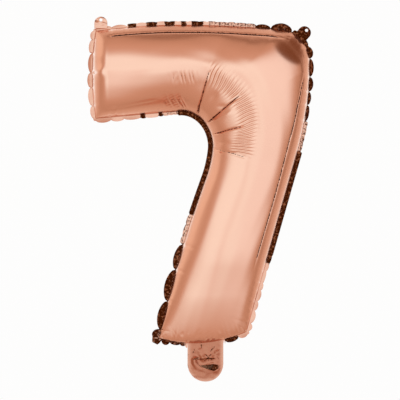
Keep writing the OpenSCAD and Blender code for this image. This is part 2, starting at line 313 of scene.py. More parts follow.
# The flange, stretch by stretch from the bar's lower left corner: the plan place where the stretch
# ends, how many buckles it has, how far they reach as a share of the weld's width, how deep the
# notches between them pinch, how far they rise out of the seam's plane and lean back, how dark the
# painted reflection of the dark room on their foil is, and how much duller painted shade they show.
flange_stretches = [
    (27, 218, 2, 1.0, 0.5, 1.0, 1.2, 0.0, 0.35), (43, 220, 1, 0.95, 0.4, 0.8, 0.8, 0.1, 0.3),
    (48, 220, 1, 0.9, 0.2, 0.5, 0.4, 0.9, 0.3), (60, 221, 1, 0.85, 0.2, 0.5, 0.4, 0.1, 0.3),
    (65, 222, 1, 0.8, 0.2, 0.5, 0.4, 0.8, 0.3), (80, 223, 3, 0.7, 0.2, 0.5, 0.3, 0.42, 0.5),
    (93, 122, 1, 0.95, 0.0, 0.0, 0.0, 0.95, 0.0), (84, 95, 3, 0.9, 0.3, 0.8, 0.3, 0.5, 0.4),
    (77, 71, 1, 1.2, 0.85, 1.2, 0.3, 0.82, 0.3), (69, 40, 1, 1.55, 0.9, 1.5, 0.3, 0.85, 0.3),
    (63, 13, 1, 1.5, 0.9, 1.5, 0.3, 0.85, 0.3), (63, 3, 1, 1.6, 0.75, 1.4, 0.4, 0.7, 0.4),
    (71, 1, 1, 1.1, 0.8, 1.3, 0.4, 0.85, 0.3), (87, -2, 2, 0.7, 0.5, 1.0, 0.3, 0.7, 0.4),
    (124, 3, 1, 1.0, 0.0, 0.0, 0.0, 0.1, 0.6), (137, 7, 1, 1.0, 0.6, 1.2, 0.3, 0.85, 0.3),
    (145, 12, 1, 1.0, 0.7, 1.1, 0.6, 0.1, 0.4), (150, 32, 2, 1.0, 0.7, 1.1, 1.2, 0.05, 0.35),
    (156, 52, 2, 0.9, 0.5, 1.0, 1.2, 0.05, 0.35), (163, 78, 3, 0.8, 0.3, 0.8, 0.8, 0.3, 0.4),
    (166, 86, 1, 0.95, 0.15, 0.6, 0.2, 0.85, 0.2), (195, 185, 1, 0.95, 0.0, 0.0, 0.0, 0.95, 0.0),
    (201, 214, 4, 0.7, 0.2, 0.6, 0.2, 0.52, 0.4), (203, 229, 1, 0.65, 0.6, 0.8, 0.2, 0.75, 0.3),
    (205, 242, 1, 0.7, 0.9, 0.9, 0.2, 0.9, 0.2), (206, 256, 1, 0.85, 0.9, 1.1, 0.3, 0.92, 0.1),
    (206, 273, 1, 0.85, 0.9, 1.2, 0.3, 0.95, 0.1), (203, 285, 1, 0.95, 0.9, 1.2, 0.3, 0.95, 0.1),
    (188, 298, 2, 0.85, 0.35, 1.0, 0.4, 0.92, 0.1), (168, 302, 1, 1.3, 0.95, 1.5, 0.3, 0.85, 0.2),
    (153, 304, 1, 0.9, 0.9, 1.2, 0.3, 0.92, 0.1), (107, 306, 5, 0.85, 0.15, 0.6, 0.2, 0.5, 0.5),
    (30, 304, 8, 0.8, 0.18, 0.7, 0.2, 0.0, 0.35), (15, 302, 1, 0.7, 0.75, 0.9, 0.3, 0.0, 0.35),
    (0, 300, 1, 0.9, 0.5, 0.8, 0.8, 0.0, 0.3), (-3, 278, 2, 1.0, 0.55, 1.1, 1.3, 0.0, 0.4),
    (-3, 260, 1, 1.0, 0.75, 1.1, 1.3, 0.0, 0.4), (-3, 245, 1, 1.0, 0.6, 1.1, 1.3, 0.0, 0.4),
    (-2, 228, 1, 1.0, 0.6, 1.1, 1.3, 0.0, 0.4), (0, 216.5, 1, 0.95, 0.6, 1.0, 1.2, 0.0, 0.4),
]
# where patches of painted dark reflection lie along the top flange, from and to, to the right of the bar's
# end
top_patches = [(30.5, 39.5), (49, 59.5), (65.5, 76), (82, 88), (91.5, 104)]

rng = np.random.default_rng(7)
swell, lift, lean, painted_dark_share, painted_dull_share = np.zeros((5, LOOP))
notches = []
start = 0.0
for x_end, z_end, buckles, reach, pinch, rise, leans, dark, painted_dull_shade in flange_stretches:
    stop = run_at(x_end, z_end) if (x_end, z_end) != (0, 216.5) else SEAM_LENGTH
    cuts = np.linspace(start, stop, buckles + 1)
    cuts[1:-1] += rng.uniform(-0.25, 0.25, buckles - 1) * (stop - start) / buckles
    for a, b in zip(cuts[:-1], cuts[1:]):
        here = (seam_run >= a) & (seam_run < b)
        phase = (seam_run[here] - a) / (b - a)
        arch = np.sin(np.pi * phase) ** 0.5
        swell[here] = reach * (1 - pinch * (1 - arch)) * rng.uniform(0.92, 1.06)
        lift[here] = rise * rng.uniform(0.6, 1.2) * np.sin(np.pi * phase)
        lift[here] *= 1 if rng.random() < 0.4 else -1
        lean[here] = leans
        painted_dark_share[here] = dark
        # a duller painted shade for this stretch of flange
        painted_dull_share[here] = 0.6 * painted_dull_shade
        if pinch > 0.15:
            notches.append((a, rng.uniform(0.6, 1.1) * min(1, pinch * 1.4)))
    start = stop
for x_from, x_to in top_patches:
    a, b = run_at(x_to, 305), run_at(x_from, 305)
    patch = smooth(a - 1, a + 1, seam_run) * (1 - smooth(b - 1, b + 1, seam_run))
    painted_dark_share = np.maximum(painted_dark_share, 0.92 * patch)


def round_seam(gap):
    """A distance along the closed seam, the short way round."""
    return (gap + SEAM_LENGTH / 2) % SEAM_LENGTH - SEAM_LENGTH / 2


def settle(values, mm):
    """Averages a quantity along the closed seam, so that one stretch runs into the next."""
    weight = bell(round_seam(seam_run[:, None] - seam_run[None, :]), mm)
    return weight @ values / weight.sum(1)


lean, painted_dark_share, painted_dull_share = settle(lean, 6.0), settle(painted_dark_share, 1.0), settle(painted_dull_share, 4.0)
lift, swell = settle(lift, 1.0), settle(swell, 0.4)


def nearest_seam(points):
    """Distance from the seam and index of the nearest seam point, for plan positions."""
    flat = points.reshape(-1, 2)
    near = np.empty(len(flat), int)
    dist = np.empty(len(flat))
    for k in range(0, len(flat), 4000):
        d2 = ((flat[k:k + 4000, None, :] - loop[None, ::2, :]) ** 2).sum(2)
        near[k:k + 4000] = d2.argmin(1) * 2
        dist[k:k + 4000] = np.sqrt(d2.min(1))
    for shift in (-2, -1, 0, 1):
        a, b = loop[(near + shift) % LOOP], loop[(near + shift + 1) % LOOP]
        share = np.clip(((flat - a) * (b - a)).sum(1) / ((b - a) ** 2).sum(1), 0, 1)[:, None]
        dist = np.minimum(dist, np.linalg.norm(flat - a - (b - a) * share, axis=1))
    return dist.reshape(points.shape[:-1]), near.reshape(points.shape[:-1])


dist, near = nearest_seam(plan)
along = seam_run[near]


# What the film does on top of its plain dome.  Where the bar turns into the leg the spare film
# gathers: four sharp creases fan out from the inside bend, a band of fine pleats lies outside them,
# and a tuck runs beside the outer seam.
def line_crease(x, z, x0, z0, x1, z1, width, fade=5.0):
    """1 along a straight fold between two plan points, falling off at both sides and at its ends."""
    d = np.array([x1 - x0, z1 - z0], float)
    length = np.linalg.norm(d)
    d /= length
    s = (x - x0) * d[0] + (z - z0) * d[1]
    off = -(x - x0) * d[1] + (z - z0) * d[0]
    ends = smooth(-0.5, fade * 0.4, s) * (1 - smooth(length - fade, length, s))
    return bell(off, width, 1.3) * ends


def gather(x, z, x0, z0, reach_x, reach_z, tilt, pitch):
    """1 in the bottoms of a short row of parallel folds, 0 between them."""
    u = (x - x0) + tilt * (z - z0)
    phase = (u / pitch + 0.12 * np.sin(u * 0.9)) % 1.0
    return bell(u, reach_x, 6) * bell(z - z0, reach_z, 3) * bell(phase - 0.5, 0.17)


def stretch_mask(x0, z0, x1, z1, ease_in, ease_out):
    """1 beside the seam between two of its points, easing in and out along it."""
    a, b = run_at(x0, z0), run_at(x1, z1)
    return smooth(a - 2, a + ease_in, along) * (1 - smooth(b - ease_out, b + 2, along))


PLEAT_PITCH = 2.75  # degrees round the inside bend


def relief(seed):
    """How far the film stands proud of the plain dome, in mm, and how deep in a fold it lies, 0 to 1, which
    sets painted shade in the folds.
    """
    x, z = plan[..., 0], plan[..., 1]
    r = np.random.default_rng(seed)
    out = np.zeros_like(x)
    fold = np.zeros_like(x)
    # slack film: long slow waves that run lengthwise down the tubes
    across = np.linalg.norm(plan - plan[:, :1], axis=-1)
    steps = np.linalg.norm(np.diff(plan[:, ACROSS // 2], axis=0), axis=1)
    lengthwise = np.concatenate([[0], np.cumsum(steps)])[:, None]
    for _ in range(7):
        length, drift, shift = r.uniform(13, 34), r.uniform(-0.011, 0.011), r.uniform(0, 6)
        wave = np.sin(2 * np.pi * (across / length + lengthwise * drift) + shift)
        out += 0.05 * wave * smooth(0, 12, dist)
    # the tuck just inside the seam, along the top and down the outside of the leg, with painted shade in its
    # groove
    groove = bell(dist - tuck_reach(loop[near][..., 0], loop[near][..., 1]), 0.8, 1.8)
    top = stretch_mask(184, 299, 12, 300, 16, 6)
    leg = stretch_mask(160, 66, 206, 256, 24, 10)
    out -= groove * (0.8 * top + 0.45 * leg)
    fold = np.maximum(fold, groove * np.maximum(top, 0.8 * leg))
    # a painted dark line of shade along the inside of the bend, where the film turns in sharply
    fold = np.maximum(fold, 0.9 * bell(dist, 0.45) * stretch_mask(58, 221, 92, 118, 20, 12))
    # short tucks that run in from the notches between the flange's buckles
    for at, amount in notches:
        gap = round_seam(along - at)
        out -= amount * 0.7 * bell(gap, 0.8) * np.exp(-dist / 4.0) * smooth(0, 1.0, dist)
        swollen = bell(np.abs(gap) - 3.0, 2.0) * np.exp(-dist / 4.5)
        out += amount * 0.3 * swollen * smooth(0, 1.5, dist)
    # the film is drawn down steeply towards the shoulder
    out -= 0.14 * depth * (1 - smooth(10, 38, np.hypot(x - 203, z - 302)))
    # the soft valley where the bar's tube meets the leg's
    s = x - (98.1 + (z - 221.9) * 0.285)
    valley = np.where(s < 0, 1 / (1 + (s / 26) ** 2), 1 / (1 + (s / 10) ** 2))
    out -= 4.2 * valley * smooth(224, 248, z) * (1 - smooth(272, 300, z))
    # the creases with painted shade in their bottoms, the film puffed up between them
    cx, cz = BEND_X, bend_z
    angle = np.degrees(np.arctan2(z - cz, x - cx))
    radius = np.hypot(x - cx, z - cz)
    creases = [(97.6, 220.5, 109.6, 262.8, 1.0), (107.4, 212.4, 140.4, 239.3, 1.0),
               (112.6, 200.6, 143.2, 208.5, 0.9), (113.6, 186.6, 146.1, 177.7, 0.8)]
    for x0, z0, x1, z1, amount in creases:
        jx, jz = r.uniform(-1.5, 1.5, 2) if seed else (0, 0)
        line = amount * line_crease(x, z, x0, z0, x1 + jx, z1 + jz, 0.75)
        out -= 1.5 * line
        fold = np.maximum(fold, 0.85 * line)
    phase = np.interp(angle, [-8, 19, 41.5, 67], [0, 1, 2, 3])
    out += 0.9 * np.abs(np.sin(np.pi * phase)) * smooth(34, 44, radius) * (1 - smooth(62, 76, radius))
    puffs = [(113.5, 236.5, 7, 3.2, 0.9, -0.9), (121, 227, 4, 2, 0.2, -0.6),
             (127, 219, 6, 2.5, 0.5, 0.5), (124, 193, 5, 2.5, -0.2, -0.5)]
    for px, pz, reach_u, reach_w, turn, amount in puffs:
        u, w = turned(x, z, px, pz, turn)
        out += amount * np.exp(-(u / reach_u) ** 2 - (w / reach_w) ** 2)
    # the band of fine pleats outside them
    middle = 59 + 15.5 * smooth(-8, 44, angle)
    band = bell(radius - middle, 9.5, 4)
    band *= smooth(-13, -6, angle) * (1 - smooth(69, 72, angle))
    wander = 0.5 * np.sin(radius * 0.21 + angle * 0.11)
    comb = np.cos(2 * np.pi * (angle + wander) / PLEAT_PITCH)
    out += 0.5 * band * (comb + 0.25 * comb ** 2)
    # two short rows of gathers on the underside of the bar, with painted shade in their bottoms
    for row, height in ((gather(x, z, 84.0, 254.0, 13.0, 5.5, 0.12, 3.75), 1.1),
                        (gather(x, z, 75.5, 232.5, 9.5, 5.5, 0.6, 3.5), 1.0)):
        out -= height * row
        fold = np.maximum(fold, 0.55 * row)
    # a long soft line under the bar, and a loop of slack at its lower corner
    out -= 0.35 * line_crease(x, z, 12, 225, 62, 234, 1.0, 12)
    out -= 0.35 * bell(np.hypot(x - 16, z - 222) - 5, 0.9) * smooth(10, 13, x)
    # the pinch in the middle of the bar's end
    pinch_z = 259.7
    out += 1.7 * bell(z - pinch_z, 5.0) * bell(x - 5.5, 4.5)
    out -= 1.3 * bell(z - pinch_z, 1.2) * np.exp(-np.clip(x + 3, 0, None) / 5.0)
    # puckers where the foot's seam and the tail's root hold the film in
    foot = stretch_mask(62, 4, 145, 12, 6, 6)
    pucker = np.abs((along / 3.4 + 0.6 * np.sin(along * 0.37)) % 2 - 1) - 0.5
    out += 1.5 * pucker * foot * np.exp(-dist / 4.5) * smooth(0, 2.0, dist)
    for _ in range(22):
        px, pz = r.uniform(FOOT_X + 4, FOOT_X + FOOT_W - 4), r.uniform(1, 10)
        reach, turn = r.uniform(2, 5), r.uniform(-0.9, 0.9)
        u, w = turned(x, z, px, pz, turn)
        out += r.uniform(-0.6, 0.4) * bell(u, 0.9) * bell(w, reach)
    return out * smooth(0.0, 0.8, dist), fold


# The filling tail hangs flat below the foot, creased by handling, with the slit for the straw in its
# front sheet.  The slit gapes: its lower lip has curled down and forwards.
TAIL_ROWS = 110
SLIT_Z, SLIT_FROM, SLIT_TO = -21.6, -7.0, 15.8
r = np.random.default_rng(21)
tail_folds = [(r.uniform(0, np.pi), r.uniform(3.4, 8.0), r.uniform(0, 6), r.uniform(0.5, 1.1))
              for _ in range(8)]


def tail_wave(x, z):
    """How far the flat tail is crumpled out of the seam's plane, in mm."""
    u, w = x - tail_mid, z
    out = np.zeros_like(u)
    for turn, length, shift, amount in tail_folds:
        bend = 0.5 * np.sin(0.35 * (w * math.cos(turn) - u * math.sin(turn)) + shift)
        phase = (u * math.cos(turn) + w * math.sin(turn)) / length + shift + bend
        out += amount * (np.abs(phase % 2 - 1) - 0.5)
    edge = np.minimum(TAIL_W / 2 - np.abs(u), w + TAIL_LEN)
    inside = 0.25 + 0.75 * smooth(1.5, 6.0, edge)
    belly = 0.3 + 0.7 * bell(w + 15, 10)
    out = 1.2 * out - 0.9 * tail_crease(x, z)
    return (out * belly + 1.5 * np.sin((w + 4) / 11)) * inside * (1 - smooth(-5, 0, w))


def tail_crease(x, z):
    """1 in the bottoms of the sharp creases pressed into the tail above its slit."""
    creases = [(-4, -1, -3, -10), (-12, -16, -5, -13), (-8, -15.5, 11, -14.5), (0, -11, 8, -17.5),
               (6, -10.5, -2, -18), (9, -3, 4, -9), (-10, -5, -13, -11), (2, -12, 3, -18.5)]
    return np.max([line_crease(x, z, tail_mid + x0, z0, tail_mid + x1, z1, 0.42, 2.5)
                   for x0, z0, x1, z1 in creases], axis=0)


def slit_lip(u):
    """How wide the slit gapes at one place along it, as a share of its widest."""
    share = np.clip((u - SLIT_FROM) / (SLIT_TO - SLIT_FROM), 0, 1)
    return np.clip(np.minimum(share / 0.62, (1 - share) / 0.3), 0, 1)


def flange_middle(share):
    """The flange's middle surface at one share of its width, all round the seam."""
    p = loop + outward * (FLANGE_W * swell * share)[:, None]
    y = lift * share ** 1.4 + lean * share ** 1.2
    return np.stack([p[:, 0], y, p[:, 1]], -1)


in_foot = (np.arange(LOOP) > STATIONS - 1) & (np.arange(LOOP) < STATIONS - 1 + ACROSS)
at_tail = in_foot & (np.abs(loop[:, 0] - tail_mid) < TAIL_W / 2 + 0.6)
next_place = np.roll(np.arange(LOOP), -1)


def foil_skin(name, facing, seed):
    """One foil sheet: dome, flange and tail as one mesh.  facing is -1 in front and 1 behind."""
    dome = np.stack([plan[..., 0], facing * (depth + FILM_GAP), plan[..., 1]], -1)
    normal = np.cross(np.gradient(dome, axis=0), np.gradient(dome, axis=1))
    normal /= np.maximum(np.linalg.norm(normal, axis=-1), 1e-9)[..., None]
    normal *= np.sign((normal[..., 1] * facing).mean())
    ends = np.minimum(np.arange(STATIONS), STATIONS - 1 - np.arange(STATIONS))
    proud, fold = relief(seed)
    dome = dome + normal * (proud * smooth(0, 4, ends)[:, None])[..., None]
    # the dome's dark tone is painted shade in its folds
    verts, tone, painted_dull_shade = [dome.reshape(-1, 3)], [0.85 * fold.reshape(-1)], [np.zeros(fold.size)]
    out_of_seam, run = [-dist.reshape(-1)], [along.reshape(-1)]
    # the rim row takes the flange's painted dark reflection and duller painted shade
    tone[0][rim] = np.maximum(tone[0][rim], painted_dark_share * 0.7)
    painted_dull_shade[0][rim] = painted_dull_share * 0.5
    count = grid.size
    faces = []

    def add(points, painted_dark_here, shade, beyond, where):
        nonlocal count
        verts.append(points)
        for column, value in ((tone, painted_dark_here), (painted_dull_shade, shade), (out_of_seam, beyond), (run, where)):
            column.append(np.broadcast_to(value, len(points)).astype(float))
        count += len(points)
        return np.arange(count - len(points), count)

    def add_faces(quads):
        faces.append(quads if facing < 0 else quads[:, ::-1])

    add_faces(np.stack([grid[:-1, :-1], grid[:-1, 1:], grid[1:, 1:], grid[1:, :-1]], -1).reshape(-1, 4))
    last = rim
    keep = ~(at_tail & at_tail[next_place])
    for row in range(1, FLANGE_ROWS + 1):
        share = row / FLANGE_ROWS
        p = flange_middle(share)
        p[:, 1] += facing * FILM_GAP
        # each flange row carries the painted dark reflection and duller painted shade of its stretch
        ids = add(p, painted_dark_share * (0.8 + 0.2 * share), painted_dull_share, FLANGE_W * share, seam_run)
        add_faces(np.stack([last, last[next_place], ids[next_place], ids], -1)[keep])
        last = ids
    # the tail runs from the seam's own points straight down to its rounded end
    columns = np.where(at_tail)[0]
    top = loop[columns]
    u = top[:, 0] - tail_mid
    side = np.clip(u / (TAIL_W / 2), -1, 1)
    bottom = -TAIL_LEN + TAIL_W / 2 * (1 - np.sqrt(np.clip(1 - side ** 2, 0, None)))
    middle_u = (u[:-1] + u[1:]) / 2
    last, was = rim[columns], top[:, 1]
    for m in range(1, TAIL_ROWS + 1):
        share = m / TAIL_ROWS
        straight = smooth(0, 0.2, share)
        px = top[:, 0] * (1 - straight) + (tail_mid + side * TAIL_W / 2) * straight
        pz = now = top[:, 1] + (bottom - top[:, 1]) * share
        py = facing * (FILM_GAP + 0.02) + tail_wave(px, pz)
        edge = np.minimum(TAIL_W / 2 - np.abs(px - tail_mid), pz - bottom)
        # painted shade in the tail's creases, and a duller painted shade all over it, lighter near its edge
        painted_dark_here = 0.1 + 0.85 * tail_crease(px, pz)
        shade = 0.95 - 0.45 * bell(edge, 2.4)
        if facing < 0:
            lip, below = slit_lip(u), pz < SLIT_Z
            near_slit = np.exp(-np.abs(pz - SLIT_Z) / 3.5)
            # the slit's dark gape is painted shade along its lips
            painted_dark_here = np.maximum(painted_dark_here, 1.1 * lip * bell(pz - SLIT_Z, np.where(below, 1.6, 1.2)))
            pz = pz - np.where(below, 5.0, -0.4) * lip * near_slit
            py = py - lip * near_slit * np.where(below, 2.2, 1.2)
        ids = add(np.stack([px, py, pz], -1), painted_dark_here, shade, np.maximum(TAIL_SEAM - edge, 0.001), px)
        quads = np.stack([last[:-1], last[1:], ids[1:], ids[:-1]], -1)
        if facing < 0:
            crosses = ((was[:-1] + was[1:]) / 2 >= SLIT_Z) & ((now[:-1] + now[1:]) / 2 < SLIT_Z)
            quads = quads[~(crosses & (middle_u > SLIT_FROM + 1) & (middle_u < SLIT_TO - 1))]
        add_faces(quads)
        last, was = ids, now
    verts = to_frame(np.concatenate(verts))
    faces = np.concatenate(faces)
    used = np.unique(faces)
    renumber = np.full(len(verts), -1)
    renumber[used] = np.arange(len(used))
    stored = [("painted_dark_tone", tone), ("painted_dull_tone", painted_dull_shade), ("seam_out", out_of_seam), ("seam_run", run)]
    stored = [(label, np.concatenate(values)[used]) for label, values in stored]
    return new_object(name, verts[used], renumber[faces], stored)


front_skin = foil_skin("front_foil_skin", -1, 0)
back_skin = foil_skin("back_foil_skin", 1, 5)


# The film's surface.  Rose-gold lacquer over a mirror of vacuum-laid aluminium: satin, with a very
# faint grain from the rolling of the film and loose, soft ripples where it isn't stretched tight.
def film_grain_group():
    group, tree, get = new_group(
        "film_grain", "ShaderNodeTree",
        [("Grain Size", "Float", 900.0), ("Ripple Size", "Float", 60.0), ("Ripple Share", "Float", 0.5),
         ("Polish", "Float", 0.2)], [("Height", "Float"), ("Roughness", "Float"), ("Tint", "Float")])
    place = tree.node("ShaderNodeTexCoord").outputs["Object"]
    fine = {"Vector": place, "Scale": get["Grain Size"], "Detail": 2.0}
    coarse = {"Vector": place, "Scale": get["Ripple Size"], "Detail": 2.0, "Roughness": 0.4}
    grain = tree.node("ShaderNodeTexNoise", fine).outputs["Fac"]
    ripple = tree.node("ShaderNodeTexNoise", coarse).outputs["Fac"]
    height = tree.maths("MULTIPLY_ADD", ripple, get["Ripple Share"], tree.maths("MULTIPLY", grain, 0.06))
    rough = tree.maths("MULTIPLY_ADD", ripple, 0.05, get["Polish"])
    tree.node("NodeGroupOutput", {"Height": height, "Roughness": rough, "Tint": ripple})
    return group


film_grain = film_grain_group()
FINE_CRIMP = 0.9  # mm from one ridge pressed into the weld to the next


def new_material(name, values, grain_values):
    """A Principled surface whose roughness comes from the film's grain: both with their own values."""
    material = bpy.data.materials.new(name)
    material.use_nodes = True
    tree = Tree(material.node_tree)
    surface = material.node_tree.nodes["Principled BSDF"]
    grain = tree.node("ShaderNodeGroup", grain_values, node_tree=film_grain)
    tree.fill(surface, {**values, "Roughness": grain.outputs["Roughness"]})
    return material, tree, surface, grain.outputs


def foil_material(name, bright, painted_dull_shade, deep, painted_dark_brown, polish):
    """Metallised film: bright on the dome, with a duller painted shade and a dark mottled painted shade and
    reflection where stored values ask.
    """
    material, tree, surface, grain = new_material(
        name, {"Metallic": 1.0, "Coat Roughness": 0.16},
        {"Grain Size": 1400.0, "Ripple Size": 70.0, "Ripple Share": 0.5, "Polish": polish})
    place = tree.node("ShaderNodeTexCoord").outputs["Object"]

    def stored(label):
        return tree.node("ShaderNodeAttribute", attribute_name=label).outputs["Fac"]

    def noise(scale, detail):
        values = {"Vector": place, "Scale": scale, "Detail": detail}
        return tree.node("ShaderNodeTexNoise", values).outputs["Fac"]

    # painted shade: a duller colour, then a mottled black-to-brown colour for shade in folds and for the
    # dark room the flange and ears mirror
    film = tree.blend(stored("painted_dull_tone"), bright, painted_dull_shade)
    painted_dark_colour = tree.blend(tree.ramp(noise(420.0, 3.0), 0.5, 0.68), deep, painted_dark_brown)
    mottle = tree.maths("MULTIPLY_ADD", noise(560.0, 2.0), 0.9, -0.45)
    mask = tree.ramp(tree.maths("ADD", stored("painted_dark_tone"), mottle), 0.36, 0.62)
    # the weld's fine crimp, pressed across the flange
    ridges = tree.maths("SINE", tree.maths("MULTIPLY", stored("seam_run"), 2 * math.pi / FINE_CRIMP))
    crimp = tree.maths("MULTIPLY", ridges, tree.ramp(stored("seam_out"), 0.6, 1.2))
    height = tree.maths("MULTIPLY_ADD", crimp, 0.12, grain["Height"])
    bump = tree.node("ShaderNodeBump", {"Strength": 0.35, "Distance": 0.0004, "Height": height})
    tree.fill(surface, {"Base Color": tree.blend(mask, film, painted_dark_colour), "Normal": bump.outputs["Normal"],
                        "Coat Weight": tree.maths("MULTIPLY_ADD", mask, -0.35, 0.35)})
    return material


rose_gold_film = foil_material("rose_gold_film", (0.86, 0.49, 0.365), (0.46, 0.155, 0.085),
                               (0.045, 0.007, 0.001), (0.24, 0.075, 0.032), 0.21)
for skin in (front_skin, back_skin):
    skin.data.materials.append(rose_gold_film)
NECK_Z, NECK_HALF = -6.0, 0.0012
neck = to_frame([tail_mid, 0, NECK_Z])
above, below = tuple(neck + [0, 0, NECK_HALF]), tuple(neck - [0, 0, NECK_HALF])
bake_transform(front_skin)
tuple(above)
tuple(below)
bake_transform(back_skin)
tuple(above)
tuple(below)
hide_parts("front_panel", "tail_front_film")
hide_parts("back_panel", "tail_back_film")


# --------------------------------------------------
# The perimeter weld.  Between the two flanges the films' inner faces have melted into one thin band
# of sealant, which follows every buckle of the flange and shows only as a fine line at the cut edge.
# It is left open where the valve passes through it.
def seam_weld_band():
    shares = np.linspace(0.02, 1.0, 6)
    layers = [flange_middle(share) + [0, y, 0] for y in (-0.11, 0.11) for share in shares]
    at = np.arange(2 * len(shares) * LOOP).reshape(2, len(shares), LOOP)
    keep = ~(at_tail & at_tail[next_place])
    (a, c), (b, d) = at[..., keep], at[..., next_place[keep]]
    quads = [(a[:-1], b[:-1], b[1:], a[1:]), (c[:-1], c[1:], d[1:], d[:-1]), (c[0], d[0], b[0], a[0]),
             (a[-1], b[-1], d[-1], c[-1])]
    faces = [np.stack(quad, -1).reshape(-1, 4) for quad in quads]
    return new_object("seam_weld", to_frame(np.concatenate(layers)), np.concatenate(faces))


def clouded_material(name, thin, thick, values, grain_values):
    """Plastic film or print, clouded from one colour to another by its ripples."""
    material, tree, surface, grain = new_material(name, {"IOR": 1.5, **values}, grain_values)
    tree.fill(surface, {"Base Color": tree.blend(grain["Tint"], thin, thick)})
    return material, tree, surface, grain


def sealant_material(name, colour, rough):
    grain_values = {"Grain Size": 2500.0, "Ripple Size": 400.0, "Ripple Share": 0.3, "Polish": rough}
    return clouded_material(name, tuple(c * 0.75 for c in colour), colour, {}, grain_values)[0]


seam_weld = seam_weld_band()
fused_sealant = sealant_material("fused_sealant", (0.42, 0.19, 0.11), 0.35)
seam_weld.data.materials.append(fused_sealant)
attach(seam_weld, "balloon")
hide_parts("perimeter_weld")


# --------------------------------------------------
# The tail's weld.  A U of fused sealant inside the tail's edge, between its two films, crumpled
# with them; the straw goes in above it.
def thick_sheet(name, places, half_thick, stored=(), turns=False):
    """A closed sheet through a grid of places: (rows, columns, 3) in mm, thickened along Y.  If it
    turns, the columns run round a hole and the last joins the first."""
    count = places.shape[0] * places.shape[1]
    at = np.arange(count).reshape(places.shape[:2])
    if turns:
        at = np.hstack([at, at[:, :1]])
    a, b, c, d = at[:-1, :-1].ravel(), at[:-1, 1:].ravel(), at[1:, 1:].ravel(), at[1:, :-1].ravel()
    facing, turned_back = np.stack([a, b, c, d], -1), np.stack([a, d, c, b], -1)
    if turns:
        faces = [turned_back, facing + count]
        for line, step in ((at[0], 1), (at[-1], -1)):
            quads = np.stack([line[:-1], line[1:], line[1:] + count, line[:-1] + count], -1)
            faces.append(quads[:, ::step])
    else:
        line = np.concatenate([at[0, :-1], at[:-1, -1], at[-1, :0:-1], at[:0:-1, 0]])
        after = np.roll(line, -1)
        faces = [facing, turned_back + count, np.stack([line, line + count, after + count, after], -1)]
    sides = [places.reshape(-1, 3) + [0, y, 0] for y in (-half_thick, half_thick)]
    return new_object(name, to_frame(np.concatenate(sides)), np.concatenate(faces), stored)


def tail_weld_places():
    straight = np.linspace(-7.5, -TAIL_LEN + TAIL_W / 2, 24)
    left = [(-1.0, 0.0, z) for z in straight]
    turn = [(-math.cos(a), -math.sin(a), -TAIL_LEN + TAIL_W / 2) for a in np.linspace(0, np.pi, 50)[1:-1]]
    right = [(1.0, 0.0, z) for z in straight[::-1]]
    rows = []
    for inset in np.linspace(0.15, TAIL_SEAM, 5):
        radius = TAIL_W / 2 - inset
        rows.append([(tail_mid + dx * radius, 0, z + dz * radius) for dx, dz, z in left + turn + right])
    places = np.array(rows)
    places[..., 1] = tail_wave(places[..., 0], places[..., 2])
    return places


tail_weld = thick_sheet("tail_weld_band", tail_weld_places(), 0.1)
tail_weld.data.materials.append(fused_sealant)
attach(tail_weld, "tail")
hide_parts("tail_weld")


# --------------------------------------------------
# The crimp.  The hot jaws that close the weld are ribbed, and leave a row of short ribs pressed
# through both films all along the flange and round the tail's edge.
def crimp_tree():
    group, tree, get = new_group(
        "weld_crimp", "GeometryNodeTree",
        [("Path", "Geometry", None), ("Pitch", "Float", 0.0013), ("Rib Width", "Float", 0.0004),
         ("Rib Height", "Float", 0.0006), ("Seed", "Int", 4), ("Film", "Material", None)],
        [("Ribs", "Geometry")])

    def stored(label, kind):
        node = tree.node("GeometryNodeInputNamedAttribute", {"Name": label}, data_type=kind)
        return node.outputs["Attribute"]

    curve = tree.node("GeometryNodeMeshToCurve", {"Mesh": get["Path"]}).outputs["Curve"]
    even = tree.node("GeometryNodeResampleCurve", {"Curve": curve, "Length": get["Pitch"]}, mode="LENGTH")
    rib = tree.node("GeometryNodeMeshCube").outputs["Mesh"]
    align = "FunctionNodeAlignRotationToVector"
    outwards = tree.node(align, {"Vector": stored("across", "FLOAT_VECTOR")}, axis="X").outputs["Rotation"]
    square_on = tree.node(align, {"Vector": (0.0, 1.0, 0.0), "Rotation": outwards}, axis="Y", pivot_axis="X")
    uneven = tree.node("FunctionNodeRandomValue", {2: 0.82, 3: 1.0, "Seed": get["Seed"]}, data_type="FLOAT")
    length = tree.maths("MULTIPLY", stored("reach", "FLOAT"), uneven.outputs[1])
    size = tree.node("ShaderNodeCombineXYZ", {"X": length, "Y": get["Rib Height"], "Z": get["Rib Width"]})
    ribs = tree.node("GeometryNodeInstanceOnPoints", {
        "Points": even.outputs["Curve"], "Instance": rib, "Rotation": square_on.outputs["Rotation"],
        "Scale": size.outputs["Vector"]})
    real = tree.node("GeometryNodeRealizeInstances", {"Geometry": ribs.outputs["Instances"]})
    film = {"Geometry": real.outputs["Geometry"], "Material": get["Film"]}
    film = tree.node("GeometryNodeSetMaterial", film)
    tree.node("NodeGroupOutput", {"Ribs": film.outputs["Geometry"]})
    return group


weld_crimp = crimp_tree()


